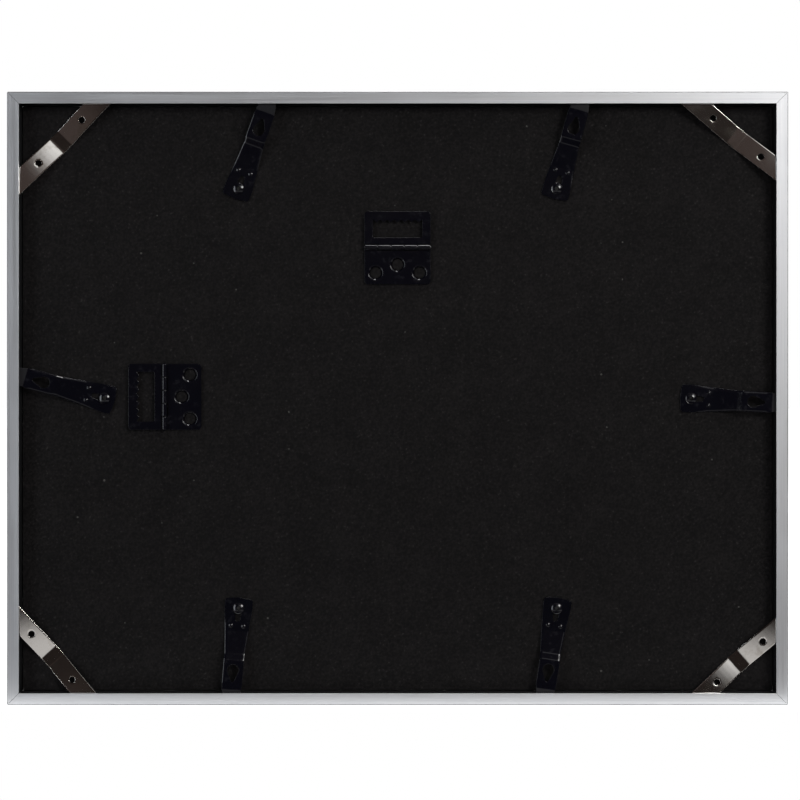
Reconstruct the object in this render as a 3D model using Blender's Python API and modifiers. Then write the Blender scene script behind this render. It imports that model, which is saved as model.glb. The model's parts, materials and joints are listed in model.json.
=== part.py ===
# Collage picture frame, modelled from the back.
# Four mitred aluminium rails hold glass, mat, prints and a backing board. Turn clips and corner springs
# keep the stack in, and a toothed hanger for each way of hanging sits on the board.
# Every piece is laid out in the back view: x to the right, y up, z out of the back.

import math

import bmesh
import bpy
from mathutils import Matrix

MM = 0.001
INCH = 25.4 * MM

# Clearances
GAP = 0.3 * MM
SHEET_PLAY = 0.8 * MM
PIN_PLAY = 0.25 * MM
WELD = 0.001 * MM

# Spare stock on strips and cutting shapes, past the outline that trims them
MARGIN = 6.7 * MM

# Sheets that the frame holds
SHEET_WIDTH = 18 * INCH
SHEET_HEIGHT = 14 * INCH
GLASS_THICKNESS = 2.0 * MM
MAT_THICKNESS = 1.4 * MM
PRINT_THICKNESS = 0.25 * MM
BOARD_THICKNESS = 3.0 * MM
SHEET_EDGE = 0.25 * MM

# Mat windows: upright small prints in the side columns, wide ones in the middle
SMALL_PRINT = (4 * INCH, 6 * INCH)
WIDE_PRINT = (7 * INCH, 5 * INCH)
PRINT_LAP = INCH / 8
WINDOW_ROWS = 2

# Rail section
WALL = 1.2 * MM
WEB = 1.0 * MM
BACK_LIP = 7.15 * MM
FRONT_LIP = 12.0 * MM
GROOVE = 6.0 * MM
HOOK_ROOM = 6.8 * MM
OUTER_ROUND = 0.9 * MM
EDGE_ROUND = 0.45 * MM
MITRE_GAP = 0.2 * MM

# Corner keys pressed into the hollow rails
KEY_LEG = 32.0 * MM
KEY_LEAD = 1.2 * MM

# Turn clips
CLIP_THICKNESS = 0.7 * MM
CLIP_LENGTH = 55.5 * MM
CLIP_TIP_ROOM = 1.05 * MM
CLIP_HEEL = 6.7 * MM
CLIP_HEEL_BOW = 0.9 * MM
CLIP_HEEL_ROUND = 1.8 * MM
CLIP_HEEL_WIDTH = 17.0 * MM
CLIP_TONGUE_WIDTH = 12.3 * MM
CLIP_TIP_WIDTH = 9.4 * MM
CLIP_RAMP = 13.5 * MM
CLIP_STEP = 27.4 * MM
CLIP_STEP_LENGTH = 3.6 * MM
CLIP_TIP = 46.8 * MM
CLIP_RAMP_RISE = 1.5 * MM
CLIP_TONGUE_RISE = 0.4 * MM
CLIP_TIP_RISE = 0.7 * MM
CLIP_TIP_ROUND = 1.0 * MM
CLIP_DOT = 10.7 * MM
CLIP_DOT_SPREAD = 7.7 * MM
CLIP_DOT_RADIUS = 1.1 * MM
CLIP_DOT_HEIGHT = 0.6 * MM
CLIP_SLOT_END = 8.0 * MM
CLIP_SLOT_TIP = 1.5 * MM
CLIP_DROP = 37.1 * MM
CLIP_DROP_RADIUS = 3.5 * MM
CLIP_DROP_END = 44.4 * MM
CLIP_DROP_TIP = 1.0 * MM
CLIP_SPREAD = 194.0 * MM

# Eyelets that the clips turn on
EYELET_SHANK = 1.9 * MM
EYELET_BORE = 1.2 * MM
EYELET_HEAD = 3.1 * MM
EYELET_HEAD_HEIGHT = 1.0 * MM
EYELET_FLARE = 2.9 * MM
EYELET_FLARE_HEIGHT = 0.4 * MM

# Hinged toothed hangers
HANGER_WIDTH = 40.2 * MM
HANGER_THICKNESS = 0.8 * MM
HANGER_CORNER = 2.0 * MM
BASE_HEIGHT = 22.4 * MM
FLAP_HEIGHT = 21.9 * MM
HINGE_KNUCKLES = 5
KNUCKLE_RADIUS = 1.6 * MM
TAB_INSET = 0.25 * MM
PIN_RADIUS = 0.7 * MM
PIN_PROUD = 0.5 * MM
PIN_EDGE = 0.18 * MM
FLAP_WINDOW_WIDTH = 30.2 * MM
FLAP_WINDOW_START = 5.9 * MM
FLAP_WINDOW_HEIGHT = 10.9 * MM
TOOTH_COUNT = 7
TOOTH_PITCH = 4.25 * MM
TOOTH_HEIGHT = 1.5 * MM
RING_FUNNEL = 4.5 * MM
RING_BORE = 3.6 * MM
RING_WALL = 0.55 * MM
RING_DEPTH = 2.2 * MM
RING_MIDDLE = 10.4 * MM
RING_SIDE = 15.4 * MM
RING_SPREAD = 26.8 * MM
TOP_HANGER_INSET = 86.6 * MM
SIDE_HANGER_INSET = 87.4 * MM
SIDE_HANGER_RISE = 1.0 * MM

# Corner springs
SPRING_WIDTH = 12.0 * MM
SPRING_THICKNESS = 0.5 * MM
SPRING_HALF_LENGTH = 35.5 * MM
SPRING_FOOT = 6.7 * MM
SPRING_HOLE_RADIUS = 1.95 * MM
SPRING_HOLE_SPREAD = 37.3 * MM
SPRING_WING_STEPS = 12
SPRING_WING_BOW = 0.35

# Smoothness of round shapes
ROUND_STEPS = 16
CORNER_STEPS = 4
DOME_STEPS = 3
SHARP_ANGLE = math.radians(40)
FLAT_ANGLE = math.radians(0.1)

# Sizes that follow from those above
OPENING_WIDTH = SHEET_WIDTH + 2 * SHEET_PLAY
OPENING_HEIGHT = SHEET_HEIGHT + 2 * SHEET_PLAY
FRAME_WIDTH = OPENING_WIDTH + 2 * BACK_LIP
FRAME_HEIGHT = OPENING_HEIGHT + 2 * BACK_LIP
BOARD_DEPTH = WALL + HOOK_ROOM
PRINT_DEPTH = BOARD_DEPTH + BOARD_THICKNESS + GAP
MAT_DEPTH = PRINT_DEPTH + PRINT_THICKNESS + GAP
GLASS_DEPTH = MAT_DEPTH + MAT_THICKNESS + GAP
FRONT_LIP_DEPTH = GLASS_DEPTH + GLASS_THICKNESS + GAP
FRAME_DEPTH = FRONT_LIP_DEPTH + WALL
CHAMBER_DEPTH = WALL + GROOVE + WEB
BASE_TOP = -(HANGER_THICKNESS / 2 + GAP)
HINGE_HEIGHT = KNUCKLE_RADIUS + GAP
RING_OUTER = RING_BORE + RING_WALL


def level(depth):
    """Height over the middle of the frame for a depth measured in from its back."""
    return FRAME_DEPTH / 2 - depth


def make_material(name, colour, roughness, metallic, transmission=0.0):
    material = bpy.data.materials.new(name)
    material.use_nodes = True
    shader = material.node_tree.nodes["Principled BSDF"]
    shader.inputs["Base Color"].default_value = (*colour, 1.0)
    shader.inputs["Roughness"].default_value = roughness
    shader.inputs["Metallic"].default_value = metallic
    shader.inputs["Transmission Weight"].default_value = transmission
    material.diffuse_color = (*colour, 1.0)
    return material


# Building blocks

def tidy_mesh(mesh):
    """Welds the seams that fills and sweeps leave, merges flat faces and turns every face outwards."""
    shape = bmesh.new()
    shape.from_mesh(mesh)
    bmesh.ops.remove_doubles(shape, verts=shape.verts, dist=WELD)
    bmesh.ops.dissolve_limit(shape, angle_limit=FLAT_ANGLE, verts=shape.verts, edges=shape.edges)
    bmesh.ops.recalc_face_normals(shape, faces=shape.faces)
    shape.to_mesh(mesh)
    shape.free()
    return mesh


def shape_object(mesh):
    """A working object around a mesh, for the modifiers that finish its shape."""
    shape = bpy.data.objects.new("shape", mesh)
    cutters.objects.link(shape)
    shape.hide_render = True
    shape.display_type = "WIRE"
    return shape


def take_mesh(shape):
    """The finished mesh of a working object, which goes away."""
    bpy.context.view_layer.update()
    evaluated = shape.evaluated_get(bpy.context.evaluated_depsgraph_get())
    mesh = bpy.data.meshes.new_from_object(evaluated)
    bpy.data.objects.remove(shape)
    return tidy_mesh(mesh)


def combine(mesh, operation, *others):
    """Joins, cuts or intersects a mesh with others, one after another."""
    shape = shape_object(mesh)
    helpers = [shape_object(other) for other in others]
    for helper in helpers:
        step = shape.modifiers.new(operation, "BOOLEAN")
        step.solver = "EXACT"
        step.operation = operation
        step.object = helper
    result = take_mesh(shape)
    for helper in helpers:
        bpy.data.objects.remove(helper)
    return result


def moved(mesh, x=0.0, y=0.0, z=0.0):
    mesh.transform(Matrix.Translation((x, y, z)))
    return mesh


def rounded(corners):
    """Outline points from corners given as x, y and radius, with each rounded corner as an arc."""
    points = []
    for index, (x, y, radius) in enumerate(corners):
        if radius == 0:
            points.append((x, y))
            continue
        before_x, before_y, _ = corners[index - 1]
        after_x, after_y, _ = corners[(index + 1) % len(corners)]
        start = math.atan2(before_y - y, before_x - x)
        end = math.atan2(after_y - y, after_x - x)
        opening = (end - start + math.pi) % (2 * math.pi) - math.pi
        reach = radius / math.sin(abs(opening) / 2)
        centre_x = x + reach * math.cos(start + opening / 2)
        centre_y = y + reach * math.sin(start + opening / 2)
        first = start - math.copysign(math.pi / 2, opening)
        sweep = math.copysign(math.pi - abs(opening), opening)
        for step in range(CORNER_STEPS + 1):
            angle = first - sweep * step / CORNER_STEPS
            points.append((centre_x + radius * math.cos(angle), centre_y + radius * math.sin(angle)))
    return points


def circle(radius, x=0.0, y=0.0):
    turns = [2 * math.pi * step / ROUND_STEPS for step in range(ROUND_STEPS)]
    return [(x + radius * math.cos(turn), y + radius * math.sin(turn)) for turn in turns]


def teardrop(radius, centre, tip, end):
    """A round end at centre that narrows along x to a smaller round tip, which stops at end."""
    small = end - tip
    tangent = math.acos((radius - tip) / (small - centre))
    line = []
    for middle, size, start, sweep in (
        (centre, radius, tangent, 2 * (math.pi - tangent)),
        (small, tip, -tangent, 2 * tangent),
    ):
        turns = [start + sweep * step / ROUND_STEPS for step in range(ROUND_STEPS + 1)]
        line += [(middle + size * math.cos(turn), size * math.sin(turn)) for turn in turns]
    return line


def curve_mesh(lines, extrude, closed):
    """Filled plate between closed lines, or an open strip along one line, both sides of z = 0."""
    curve = bpy.data.curves.new("outline", "CURVE")
    curve.dimensions = "2D"
    curve.fill_mode = "BOTH" if closed else "NONE"
    curve.extrude = extrude
    for line in lines:
        spline = curve.splines.new("POLY")
        spline.points.add(len(line) - 1)
        spline.use_cyclic_u = closed
        for point, (x, y) in zip(spline.points, line):
            point.co = (x, y, 0.0, 1.0)
    outline = bpy.data.objects.new("outline", curve)
    cutters.objects.link(outline)
    mesh = take_mesh(outline)
    bpy.data.curves.remove(curve)
    return mesh


def plate(lines, thickness):
    return curve_mesh(lines, thickness / 2, closed=True)


def bent_strip(side_line, width, thickness):
    """A strip along x that follows side_line in height, with its thickness to both sides of the line."""
    mesh = curve_mesh([side_line], width / 2, closed=False)
    mesh.transform(Matrix.Rotation(math.pi / 2, 4, "X"))
    shape = shape_object(mesh)
    wall = shape.modifiers.new("Wall", "SOLIDIFY")
    wall.thickness = thickness
    wall.offset = 0.0
    wall.use_even_offset = True
    return take_mesh(shape)


def turned(profile, closed=False):
    """A profile of radius and height, spun about z."""
    mesh = bpy.data.meshes.new("profile")
    count = len(profile)
    edges = [(index, index + 1) for index in range(count - 1)]
    if closed:
        edges.append((count - 1, 0))
    mesh.from_pydata([(radius, 0.0, height) for radius, height in profile], edges, [])
    shape = shape_object(mesh)
    spin = shape.modifiers.new("Spin", "SCREW")
    spin.steps = ROUND_STEPS
    spin.render_steps = ROUND_STEPS
    spin.use_merge_vertices = True
    spin.merge_threshold = WELD
    return take_mesh(shape)


def quarter_round(x, base, reach, height):
    """A profile from the top of a rounded shape at x down to its side, reach away, at base."""
    turns = [math.pi / 2 * step / DOME_STEPS for step in range(DOME_STEPS + 1)]
    return [(x + reach * math.sin(turn), base + height * math.cos(turn)) for turn in turns]


def cylinder(radius, length, x=0.0):
    """A round bar along x, centred at x."""
    shape = bmesh.new()
    bmesh.ops.create_cone(
        shape, cap_ends=True, segments=ROUND_STEPS, radius1=radius, radius2=radius, depth=length
    )
    mesh = bpy.data.meshes.new("cylinder")
    shape.to_mesh(mesh)
    shape.free()
    mesh.transform(Matrix.Rotation(math.pi / 2, 4, "Y"))
    return moved(mesh, x)


def block(width, height, thickness):
    shape = bmesh.new()
    bmesh.ops.create_cube(shape, size=1.0)
    bmesh.ops.scale(shape, verts=shape.verts, vec=(width, height, thickness))
    mesh = bpy.data.meshes.new("block")
    shape.to_mesh(mesh)
    shape.free()
    return mesh


def add_part(name, mesh, material, x, y, z, turn=0.0, smooth=False):
    """Places a finished piece in the back view, turned about the line out of the back."""
    if not mesh.materials:
        mesh.materials.append(material)
    if smooth:
        mesh.shade_smooth()
        mesh.set_sharp_from_angle(angle=SHARP_ANGLE)
    part = bpy.data.objects.new(name, mesh)
    parts.objects.link(part)
    part.parent = back_view
    part.location = (x, y, z)
    part.rotation_euler = (0.0, 0.0, turn)
    return part


def break_edges(part, width):
    bevel = part.modifiers.new("Edges", "BEVEL")
    bevel.width = width
    bevel.segments = 1
    bevel.limit_method = "ANGLE"


# Rails and corner keys

def rail_mesh(length):
    """A hollow rail along y with x running inwards from its outer face, mitred at both ends."""
    corners = [
        (0.0, 0.0, OUTER_ROUND),
        (BACK_LIP, 0.0, EDGE_ROUND),
        (BACK_LIP, WALL, EDGE_ROUND),
        (WALL, WALL, 0.0),
        (WALL, WALL + GROOVE, 0.0),
        (BACK_LIP, WALL + GROOVE, EDGE_ROUND),
        (BACK_LIP, FRONT_LIP_DEPTH, 0.0),
        (FRONT_LIP, FRONT_LIP_DEPTH, EDGE_ROUND),
        (FRONT_LIP, FRAME_DEPTH, EDGE_ROUND),
        (0.0, FRAME_DEPTH, OUTER_ROUND),
    ]
    chamber = [
        (WALL, CHAMBER_DEPTH),
        (BACK_LIP - WEB, CHAMBER_DEPTH),
        (BACK_LIP - WEB, FRONT_LIP_DEPTH),
        (WALL, FRONT_LIP_DEPTH),
    ]
    section = [[(x, level(depth)) for x, depth in line] for line in (rounded(corners), chamber)]
    mesh = plate(section, length)
    mesh.transform(Matrix.Rotation(math.pi / 2, 4, "X"))
    setback = MITRE_GAP / math.sqrt(2)
    for vertex in mesh.vertices:
        vertex.co.y = math.copysign(length / 2 - vertex.co.x - setback, vertex.co.y)
    return mesh


def add_rails(material):
    for name, length, x, y, turn in (
        ("rail_left", FRAME_HEIGHT, -FRAME_WIDTH / 2, 0.0, 0.0),
        ("rail_bottom", FRAME_WIDTH, 0.0, -FRAME_HEIGHT / 2, math.pi / 2),
        ("rail_right", FRAME_HEIGHT, FRAME_WIDTH / 2, 0.0, math.pi),
        ("rail_top", FRAME_WIDTH, 0.0, FRAME_HEIGHT / 2, -math.pi / 2),
    ):
        add_part(name, rail_mesh(length), material, x, y, 0.0, turn, smooth=True)


def add_corner_keys(material):
    start = WALL + GAP
    width = BACK_LIP - WEB - WALL - 2 * GAP
    end = start + KEY_LEG
    outline = rounded([
        (start, start, 0.0),
        (end, start, KEY_LEAD),
        (end, start + width, KEY_LEAD),
        (start + width, start + width, 0.0),
        (start + width, end, KEY_LEAD),
        (start, end, KEY_LEAD),
    ])
    thickness = FRONT_LIP_DEPTH - CHAMBER_DEPTH - 2 * GAP
    height = level((FRONT_LIP_DEPTH + CHAMBER_DEPTH) / 2)
    mesh = plate([outline], thickness)
    for name, side, rise, turn in (
        ("corner_key_bottom_left", -1, -1, 0.0),
        ("corner_key_bottom_right", 1, -1, math.pi / 2),
        ("corner_key_top_right", 1, 1, math.pi),
        ("corner_key_top_left", -1, 1, -math.pi / 2),
    ):
        add_part(name, mesh, material, side * FRAME_WIDTH / 2, rise * FRAME_HEIGHT / 2, height, turn)


# Glass, mat, prints and board

def window_places():
    """Name, print size and centre of every mat window."""
    windows = []
    widths = (SMALL_PRINT[0], WIDE_PRINT[0], SMALL_PRINT[0])
    spare = SHEET_WIDTH - sum(widths) + 2 * PRINT_LAP * len(widths)
    column_gap = spare / (len(widths) + 1)
    row_gap = (SHEET_HEIGHT - WINDOW_ROWS * (SMALL_PRINT[1] - 2 * PRINT_LAP)) / (WINDOW_ROWS + 1)
    edge = -SHEET_WIDTH / 2
    for column, size in (("left", SMALL_PRINT), ("middle", WIDE_PRINT), ("right", SMALL_PRINT)):
        x = edge + column_gap + size[0] / 2 - PRINT_LAP
        edge = x + size[0] / 2 - PRINT_LAP
        rise = (size[1] - 2 * PRINT_LAP + row_gap) / 2
        windows.append((f"{column}_upper", size, x, rise))
        windows.append((f"{column}_lower", size, x, -rise))
    return windows


def window_cutter(size, x, y):
    """A window that widens at forty-five degrees through the mat, towards the glass."""
    width = size[0] - 2 * PRINT_LAP
    height = size[1] - 2 * PRINT_LAP
    mesh = block(width, height, MAT_THICKNESS + 2 * GAP)
    for vertex in mesh.vertices:
        spread = MAT_THICKNESS / 2 - vertex.co.z
        vertex.co.x += math.copysign(spread, vertex.co.x)
        vertex.co.y += math.copysign(spread, vertex.co.y)
    return moved(mesh, x, y)


def add_sheets(glass, mat, paper):
    sheet_glass = block(SHEET_WIDTH, SHEET_HEIGHT, GLASS_THICKNESS)
    pane = add_part("glass", sheet_glass, glass, 0.0, 0.0, level(GLASS_DEPTH + GLASS_THICKNESS / 2))
    break_edges(pane, SHEET_EDGE)
    cut_windows = [window_cutter(size, x, y) for _, size, x, y in window_places()]
    sheet_mat = combine(block(SHEET_WIDTH, SHEET_HEIGHT, MAT_THICKNESS), "DIFFERENCE", *cut_windows)
    add_part("collage_mat", sheet_mat, mat, 0.0, 0.0, level(MAT_DEPTH + MAT_THICKNESS / 2))
    print_height = level(PRINT_DEPTH + PRINT_THICKNESS / 2)
    for place, size, x, y in window_places():
        add_part(f"print_{place}", block(*size, PRINT_THICKNESS), paper, x, y, print_height)


def eyelet_cutter():
    """The hole for an eyelet through the board, with a wide seat at the front for its flare."""
    seat = EYELET_FLARE + GAP
    seat_top = -BOARD_THICKNESS + EYELET_FLARE_HEIGHT + 2 * GAP
    return turned([
        (0.0, GAP),
        (EYELET_SHANK + GAP, GAP),
        (EYELET_SHANK + GAP, seat_top),
        (seat, seat_top),
        (seat, -BOARD_THICKNESS - GAP),
        (0.0, -BOARD_THICKNESS - GAP),
    ])


def ring_cutter():
    """The round groove that a hanger's ring is pressed into."""
    depth = HINGE_HEIGHT + BASE_TOP - HANGER_THICKNESS - RING_DEPTH - GAP
    return turned([
        (RING_OUTER + GAP, GAP),
        (RING_OUTER + GAP, depth),
        (RING_BORE - GAP, depth),
        (RING_BORE - GAP, GAP),
    ], closed=True)


def ring_places():
    """Places of a hanger's rings from the middle of its hinge."""
    return ((0.0, -RING_MIDDLE), (-RING_SPREAD / 2, -RING_SIDE), (RING_SPREAD / 2, -RING_SIDE))


def hanger_places():
    """Name, hinge middle and turn of both hangers."""
    return (
        ("top_hanger", 0.0, OPENING_HEIGHT / 2 - TOP_HANGER_INSET, 0.0),
        ("side_hanger", SIDE_HANGER_INSET - OPENING_WIDTH / 2, SIDE_HANGER_RISE, math.pi / 2),
    )


def add_board(material):
    cuts = []
    for _, x, y, _ in clip_places():
        cuts.append(moved(eyelet_cutter(), x, y))
    for _, x, y, turn in hanger_places():
        for ring_x, ring_y in ring_places():
            cut = moved(ring_cutter(), ring_x, ring_y)
            cut.transform(Matrix.Translation((x, y, 0.0)) @ Matrix.Rotation(turn, 4, "Z"))
            cuts.append(cut)
    board = moved(block(SHEET_WIDTH, SHEET_HEIGHT, BOARD_THICKNESS), z=-BOARD_THICKNESS / 2)
    board = combine(board, "DIFFERENCE", *cuts)
    add_part("backing_board", board, material, 0.0, 0.0, level(BOARD_DEPTH))


# Turn clips and their eyelets

def clip_places():
    """Name, pivot and heading of every clip, with headings in degrees from +x towards +y."""
    reach = CLIP_LENGTH + CLIP_TIP_ROOM + WALL
    side = FRAME_WIDTH / 2 - reach
    rise = FRAME_HEIGHT / 2 - reach
    spread = CLIP_SPREAD / 2
    return (
        ("top_left", -spread, rise, 70.0),
        ("top_right", spread, rise, 74.5),
        ("left", -side, 0.0, 165.0),
        ("right", side, 0.0, -3.0),
        ("bottom_left", -spread, -rise, 265.5),
        ("bottom_right", spread, -rise, 261.5),
    )


def mirrored(corners):
    """A closed outline from its upper half, listed from the heel to the tip."""
    return corners + [(x, -y, radius) for x, y, radius in reversed(corners) if y > 0]


def clip_mesh():
    """A clip along x with its pivot at the origin and the board at z = 0."""
    foot = GAP + CLIP_THICKNESS / 2
    ramp_top = foot + CLIP_RAMP_RISE
    tip_top = HOOK_ROOM - GAP - CLIP_THICKNESS / 2
    tongue = tip_top - CLIP_TIP_RISE
    shelf = tongue - CLIP_TONGUE_RISE
    side_line = [
        (-CLIP_HEEL - MARGIN, foot),
        (CLIP_RAMP, foot),
        (CLIP_STEP, ramp_top),
        (CLIP_STEP + CLIP_STEP_LENGTH, shelf),
        (CLIP_TIP, tongue),
        (CLIP_LENGTH + MARGIN, tip_top + CLIP_TIP_RISE * MARGIN / (CLIP_LENGTH - CLIP_TIP)),
    ]
    strip = bent_strip(side_line, CLIP_HEEL_WIDTH + 2 * MARGIN, CLIP_THICKNESS)
    outline = rounded(mirrored([
        (-CLIP_HEEL, 0.0, CLIP_HEEL_WIDTH / 2),
        (-CLIP_HEEL + CLIP_HEEL_BOW, CLIP_HEEL_WIDTH / 2, CLIP_HEEL_ROUND),
        (0.0, CLIP_HEEL_WIDTH / 2, CLIP_HEEL),
        (CLIP_STEP, CLIP_TONGUE_WIDTH / 2, CLIP_HEEL),
        (CLIP_TIP, CLIP_TONGUE_WIDTH / 2, CLIP_TIP_ROUND),
        (CLIP_LENGTH, CLIP_TIP_WIDTH / 2, CLIP_TIP_ROUND),
    ]))
    slot = teardrop(EYELET_SHANK + GAP, 0.0, CLIP_SLOT_TIP, CLIP_SLOT_END)
    drop = teardrop(CLIP_DROP_RADIUS, CLIP_DROP, CLIP_DROP_TIP, CLIP_DROP_END)
    clip = combine(strip, "INTERSECT", plate([outline, slot, drop], 2 * (HOOK_ROOM + MARGIN)))
    dot_base = foot + CLIP_THICKNESS / 2
    dome = quarter_round(0.0, dot_base, CLIP_DOT_RADIUS, CLIP_DOT_HEIGHT)
    dot = dome + [(CLIP_DOT_RADIUS, foot), (0.0, foot)]
    dots = [moved(turned(dot), CLIP_DOT, side * CLIP_DOT_SPREAD / 2) for side in (-1, 1)]
    return combine(clip, "UNION", *dots)


def eyelet_mesh():
    """A rolled eyelet around z, with its head over a clip and its flare at the front of the board."""
    under = 2 * GAP + CLIP_THICKNESS
    foot = GAP - BOARD_THICKNESS
    roll = (EYELET_HEAD - EYELET_BORE) / 2
    middle = EYELET_BORE + roll
    outer_roll = quarter_round(middle, under, roll, EYELET_HEAD_HEIGHT)
    inner_roll = quarter_round(middle, under, -roll, EYELET_HEAD_HEIGHT)
    stem = [
        (EYELET_SHANK, under),
        (EYELET_SHANK, foot + EYELET_FLARE_HEIGHT + GAP),
        (EYELET_FLARE, foot + EYELET_FLARE_HEIGHT),
        (EYELET_FLARE, foot),
        (EYELET_BORE, foot),
    ]
    return turned(outer_roll + stem + inner_roll[:0:-1], closed=True)


def add_clips(clip_steel, eyelet_steel):
    clip = clip_mesh()
    eyelet = eyelet_mesh()
    height = level(BOARD_DEPTH)
    for place, x, y, heading in clip_places():
        add_part(f"turn_clip_{place}", clip, clip_steel, x, y, height, math.radians(heading), smooth=True)
        add_part(f"clip_eyelet_{place}", eyelet, eyelet_steel, x, y, height, smooth=True)


# Hangers

def knuckles(owned, radius, length):
    """Round bars on the hinge axis at the given places of the row of knuckles."""
    pitch = HANGER_WIDTH / HINGE_KNUCKLES
    middle = (HINGE_KNUCKLES - 1) / 2
    return [cylinder(radius, length, (index - middle) * pitch) for index in owned]


def curl_hinge(leaf, owned):
    """Clears the other leaf's knuckles from a leaf, curls its own and bores them for the pin."""
    pitch = HANGER_WIDTH / HINGE_KNUCKLES
    others = [index for index in range(HINGE_KNUCKLES) if index not in owned]
    notches = knuckles(others, KNUCKLE_RADIUS + GAP, pitch + 2 * TAB_INSET)
    leaf = combine(leaf, "DIFFERENCE", *notches)
    leaf = combine(leaf, "UNION", *knuckles(owned, KNUCKLE_RADIUS, pitch - GAP))
    return combine(leaf, "DIFFERENCE", cylinder(PIN_RADIUS + PIN_PLAY, HANGER_WIDTH + 2 * MARGIN))


def leaf_outline(height):
    """A leaf from the hinge axis at y = 0 to its rounded far corners at y = height."""
    half = HANGER_WIDTH / 2
    return rounded([
        (-half, 0.0, 0.0),
        (half, 0.0, 0.0),
        (half, height, HANGER_CORNER),
        (-half, height, HANGER_CORNER),
    ])


def flap_window():
    """The flap's window, with a row of teeth on the side away from the hinge."""
    half = FLAP_WINDOW_WIDTH / 2
    near = FLAP_WINDOW_START
    far = near + FLAP_WINDOW_HEIGHT
    line = [(-half, near), (half, near), (half, far)]
    row = TOOTH_COUNT * TOOTH_PITCH
    for tooth in range(TOOTH_COUNT):
        right = row / 2 - tooth * TOOTH_PITCH
        line += [(right, far), (right - TOOTH_PITCH / 2, far - TOOTH_HEIGHT)]
    return line + [(-row / 2, far), (-half, far)]


def base_mesh():
    """The fixed leaf: a plate with three rings that press into the board."""
    middle = BASE_TOP - HANGER_THICKNESS / 2
    under = BASE_TOP - HANGER_THICKNESS
    foot = under - RING_DEPTH
    leaf = moved(plate([leaf_outline(-BASE_HEIGHT)], HANGER_THICKNESS), z=middle)
    ring = [(0.0, middle), (RING_OUTER, middle), (RING_OUTER, foot), (0.0, foot)]
    funnel = [
        (0.0, BASE_TOP + GAP),
        (RING_FUNNEL, BASE_TOP + GAP),
        (RING_FUNNEL, BASE_TOP),
        (RING_BORE, under),
        (RING_BORE, foot - GAP),
        (0.0, foot - GAP),
    ]
    rings = [moved(turned(ring), x, y) for x, y in ring_places()]
    funnels = [moved(turned(funnel), x, y) for x, y in ring_places()]
    leaf = combine(leaf, "UNION", *rings)
    leaf = combine(leaf, "DIFFERENCE", *funnels)
    return curl_hinge(leaf, range(0, HINGE_KNUCKLES, 2))


def flap_mesh():
    leaf = plate([leaf_outline(FLAP_HEIGHT), flap_window()], HANGER_THICKNESS)
    return curl_hinge(leaf, range(1, HINGE_KNUCKLES, 2))


def add_hangers(steel):
    base = base_mesh()
    flap = flap_mesh()
    height = level(BOARD_DEPTH) + HINGE_HEIGHT
    for place, x, y, turn in hanger_places():
        add_part(f"{place}_base", base, steel, x, y, height, turn, smooth=True)
        add_part(f"{place}_flap", flap, steel, x, y, height, turn, smooth=True)
        pin = cylinder(PIN_RADIUS, HANGER_WIDTH + 2 * PIN_PROUD)
        bar = add_part(f"{place}_pin", pin, steel, x, y, height, turn, smooth=True)
        break_edges(bar, PIN_EDGE)


# Corner springs

def spring_mesh():
    """A bowed strip along x: a flat foot over the board and two wings that rise to the lips."""
    foot = GAP + SPRING_THICKNESS / 2
    rise = HOOK_ROOM - GAP - SPRING_THICKNESS / 2 - foot
    start = SPRING_FOOT / 2
    reach = SPRING_HALF_LENGTH + SPRING_WIDTH / 2
    wing = []
    for step in range(SPRING_WING_STEPS + 1):
        part = step / SPRING_WING_STEPS
        bow = (1 + SPRING_WING_BOW) * part - SPRING_WING_BOW * part * part
        wing.append((start + (reach - start) * part, foot + rise * bow))
    side_line = [(-x, height) for x, height in reversed(wing)] + wing
    strip = bent_strip(side_line, SPRING_WIDTH + 2 * MARGIN, SPRING_THICKNESS)
    long_side = SPRING_HALF_LENGTH + SPRING_WIDTH / 2
    short_side = SPRING_HALF_LENGTH - SPRING_WIDTH / 2
    half = SPRING_WIDTH / 2
    outline = rounded([
        (-long_side, -half, EDGE_ROUND),
        (long_side, -half, EDGE_ROUND),
        (short_side, half, EDGE_ROUND),
        (-short_side, half, EDGE_ROUND),
    ])
    holes = [circle(SPRING_HOLE_RADIUS, side * SPRING_HOLE_SPREAD / 2) for side in (-1, 1)]
    return combine(strip, "INTERSECT", plate([outline, *holes], 2 * (HOOK_ROOM + MARGIN)))


def add_springs(steel):
    """Each spring lies across a corner, its ends under both lips by its own shares of the groove's depth."""
    spring = spring_mesh()
    groove = BACK_LIP - WALL
    height = level(BOARD_DEPTH)
    for place, side, rise, turn, share_x, share_y in (
        ("top_left", -1, 1, 45.0, 0.15, 0.44),
        ("top_right", 1, 1, -38.8, 0.78, 0.39),
        ("bottom_left", -1, -1, 131.5, 0.73, 0.86),
        ("bottom_right", 1, -1, 221.8, 0.875, 0.87),
    ):
        angle = math.radians(turn)
        x = OPENING_WIDTH / 2 + share_x * groove - SPRING_HALF_LENGTH * abs(math.cos(angle))
        y = OPENING_HEIGHT / 2 + share_y * groove - SPRING_HALF_LENGTH * abs(math.sin(angle))
        add_part(f"corner_spring_{place}", spring, steel, side * x, rise * y, height, angle, smooth=True)


# The frame

for leftover in list(bpy.data.objects):
    bpy.data.objects.remove(leftover)

parts = bpy.data.collections.new("collage_picture_frame")
cutters = bpy.data.collections.new("cutters")
bpy.context.scene.collection.children.link(parts)
bpy.context.scene.collection.children.link(cutters)

back_view = bpy.data.objects.new("back_view", None)
back_view.rotation_euler = (math.pi / 2, 0.0, 0.0)
parts.objects.link(back_view)

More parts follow.
